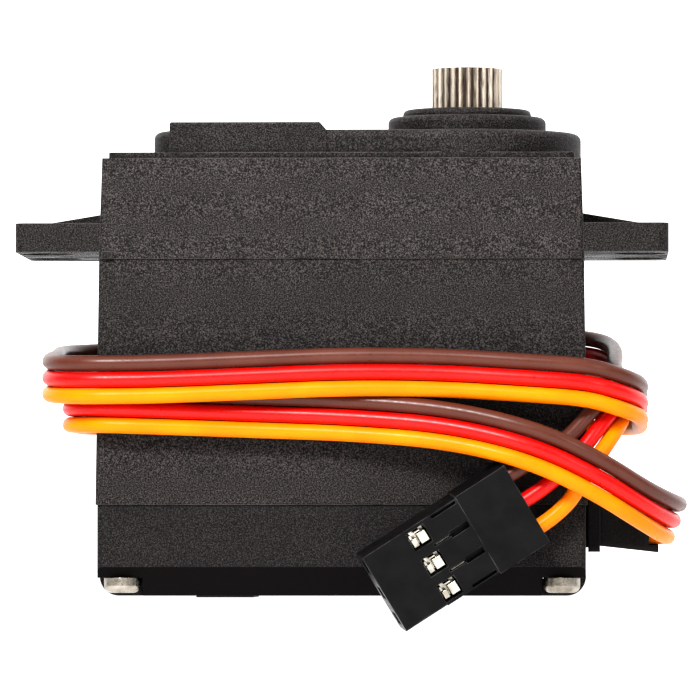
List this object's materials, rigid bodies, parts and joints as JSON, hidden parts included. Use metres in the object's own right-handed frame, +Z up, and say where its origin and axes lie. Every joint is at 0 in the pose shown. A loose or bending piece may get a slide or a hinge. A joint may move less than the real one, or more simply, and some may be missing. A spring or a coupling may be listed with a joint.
{
  "type": "servo motor",
  "caption": "Standard-size metal-gear servo: cased motor, gear train, splined output shaft, mounting ears and a three-wire lead with a connector, wrapped round the case.",
  "frame": {"origin": "middle of the four ear holes, on the underside of the ears", "axes": "+Z up the output shaft, +X along the case towards the output shaft and the lead, +Y across it"},
  "size_m": [0.056, 0.0303, 0.0474],
  "materials": {
    "case_plastic": "fine sparked black",
    "cover_plastic": "fine sparked black",
    "screw_steel": "nickel plated",
    "steel": "ground",
    "bearing_steel": "polished",
    "seal_rubber": "matte",
    "brass": "turned",
    "motor_steel": "zinc plated",
    "magnet": "ferrite, dull",
    "end_cap_plastic": "moulded",
    "copper": "bright copper alloy",
    "pot_plastic": "moulded",
    "board": "green solder mask",
    "chip": "moulded",
    "capacitor": "moulded",
    "relief_rubber": "matte",
    "wire_brown": "soft gloss",
    "wire_red": "soft gloss",
    "wire_yellow": "soft gloss",
    "connector_plastic": "glossy black",
    "contact_tin": "bright tin",
    "gear_steel": "cut and hardened",
    "output_steel": "cut, warm grey"
  },
  "bodies": {
    "case": {"upper_case": "case_plastic", "middle_case": "case_plastic", "bottom_cover": "cover_plastic", "case_screws": "screw_steel", "centre_pin": "steel", "side_pin": "steel", "bearing_outer_ring": "bearing_steel", "bearing_balls": "bearing_steel", "output_seal": "seal_rubber", "output_bush": "brass", "motor_can": "motor_steel", "motor_bushes": "brass", "motor_magnets": "magnet", "motor_end_cap": "end_cap_plastic", "motor_terminals": "copper", "motor_brushes": "copper", "motor_screws": "screw_steel", "pot_body": "pot_plastic", "pot_pins": "copper", "control_board": "board", "controller_chip": "chip", "drive_chips": "chip", "board_capacitor": "capacitor", "strain_relief": "relief_rubber", "lead_tails": "wire_red", "wire_brown": "wire_brown", "wire_red": "wire_red", "wire_yellow": "wire_yellow", "connector_housing": "connector_plastic", "connector_contacts": "contact_tin"},
    "rotor": {"motor_shaft": "steel", "motor_pinion": "brass", "rotor_core": "motor_steel", "commutator": "copper"},
    "first_stage": {"first_gear": "gear_steel"},
    "second_stage": {"second_gear": "gear_steel"},
    "third_stage": {"third_gear": "gear_steel"},
    "output": {"output_gear": "output_steel", "bearing_inner_ring": "bearing_steel", "pot_wiper": "end_cap_plastic"}
  },
  "joints": [
    {"name": "motor_spin", "type": "hinge", "parent": "case", "child": "rotor", "pos_m": [-0.0077, 0, 0], "axis": [0, 0, 1], "range_deg": [-13524.73, 13524.73]},
    {"name": "first_gear_spin", "type": "hinge", "parent": "case", "child": "first_stage", "pos_m": [-0.0005, 0, 0], "axis": [0, 0, 1], "range_deg": [-3559.14, 3559.14]},
    {"name": "second_gear_spin", "type": "hinge", "parent": "case", "child": "second_stage", "pos_m": [-0.0103, 0, 0], "axis": [0, 0, 1], "range_deg": [-912.6, 912.6]},
    {"name": "third_gear_spin", "type": "hinge", "parent": "case", "child": "third_stage", "pos_m": [-0.0005, 0, 0], "axis": [0, 0, 1], "range_deg": [-234, 234]},
    {"name": "output_turn", "type": "hinge", "parent": "case", "child": "output", "pos_m": [0.0103, 0, 0], "axis": [0, 0, 1], "range_deg": [-90, 90]}
  ],
  "couplings": [
    {"joint": "first_gear_spin", "follows": "motor_spin", "ratio": -0.26316},
    {"joint": "second_gear_spin", "follows": "motor_spin", "ratio": 0.067476},
    {"joint": "third_gear_spin", "follows": "motor_spin", "ratio": -0.017302},
    {"joint": "output_turn", "follows": "motor_spin", "ratio": 0.0066545}
  ]
}
